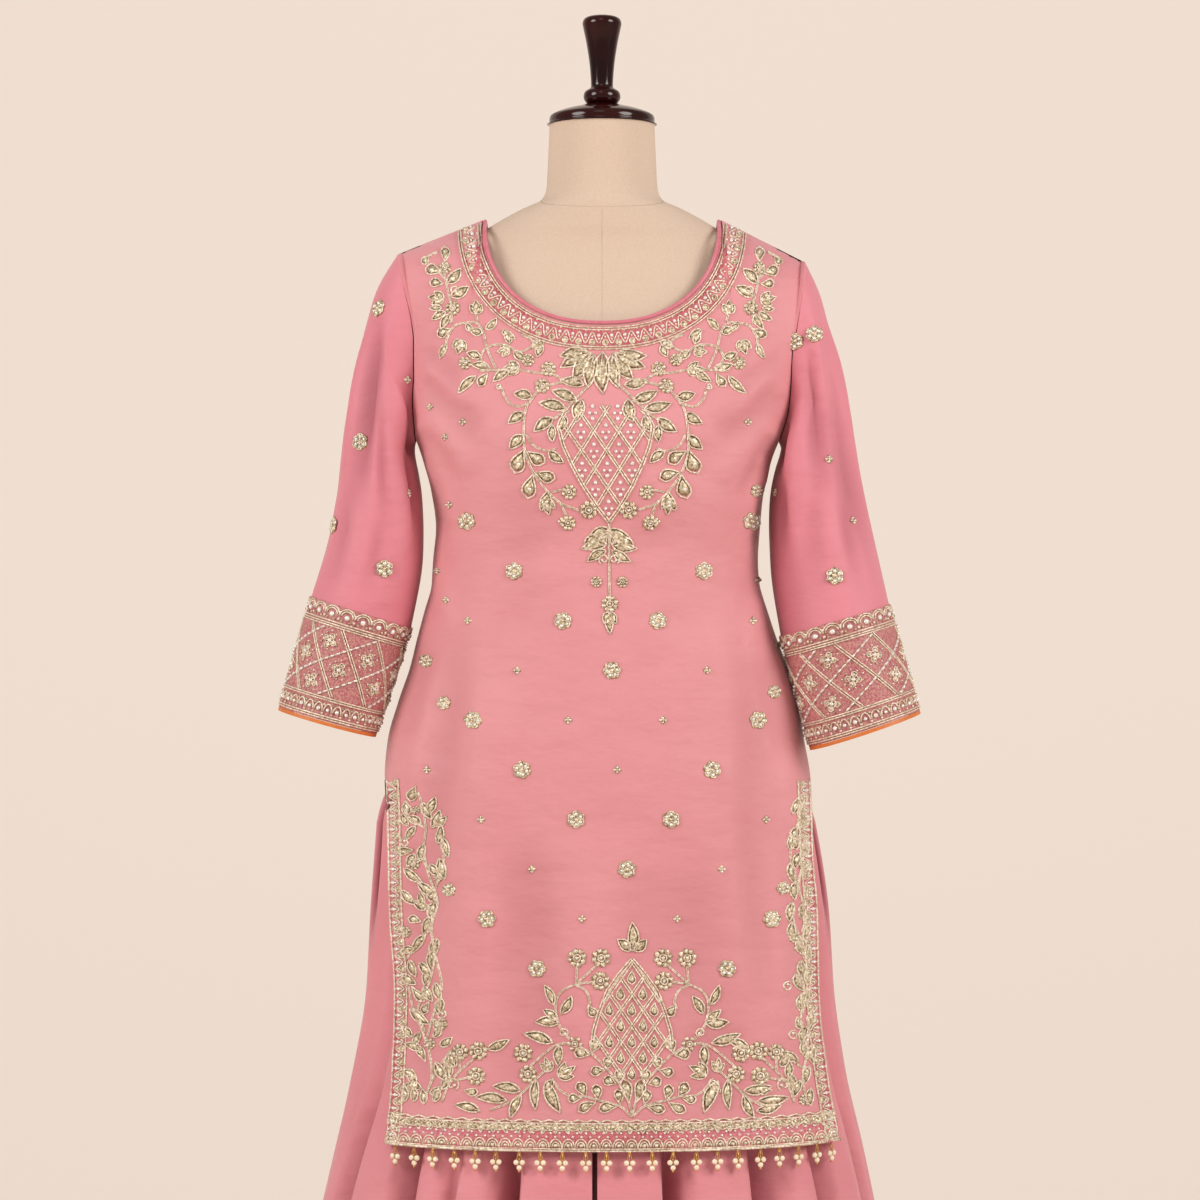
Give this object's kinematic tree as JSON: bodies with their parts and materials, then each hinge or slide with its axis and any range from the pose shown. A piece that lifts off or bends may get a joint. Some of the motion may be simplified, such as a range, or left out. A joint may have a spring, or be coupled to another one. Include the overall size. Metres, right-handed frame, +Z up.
{
  "type": "salwar kameez suit on a dress form",
  "caption": "Embroidered kameez with side slits and three-quarter sleeves over a pleated sharara, worn by a limbless dress form that stands on a round foot.",
  "frame": {"origin": "the middle of the round foot's underside, on the floor", "axes": "+Z up, the suit's front faces -Y, +X is the wearer's left"},
  "size_m": [0.6992, 0.466, 1.6343],
  "materials": {
    "pink_crepe": "matt rose-pink crepe with a soft sheen and couched gold embroidery",
    "sharara_crepe": "matt rose-pink crepe with a soft sheen",
    "cuff_gold": "dusty rose ground covered with couched gold lattice",
    "orange_binding": "orange satin binding",
    "piping_satin": "rose satin piping",
    "beadwork": "pearls on gold thread",
    "form_cotton": "beige cotton, finely speckled",
    "dark_lacquer": "very dark red-brown lacquered wood, glossy",
    "stand_metal": "dark satin paint"
  },
  "bodies": {
    "root": {"form_body": "form_cotton", "form_neck_cap": "dark_lacquer", "form_finial": "dark_lacquer", "stand_pole": "stand_metal", "stand_foot": "stand_metal", "kameez_front": "pink_crepe", "kameez_back": "pink_crepe", "neck_piping": "piping_satin", "bead_fringe": "beadwork", "sleeve_right": "pink_crepe", "cuff_right": "cuff_gold", "cuff_binding_right": "orange_binding", "sleeve_left": "pink_crepe", "cuff_left": "cuff_gold", "cuff_binding_left": "orange_binding", "sharara_waistband": "sharara_crepe", "sharara_right_outer": "sharara_crepe", "sharara_left_outer": "sharara_crepe", "sharara_right_inner": "sharara_crepe", "sharara_left_inner": "sharara_crepe"}
  },
  "joints": []
}
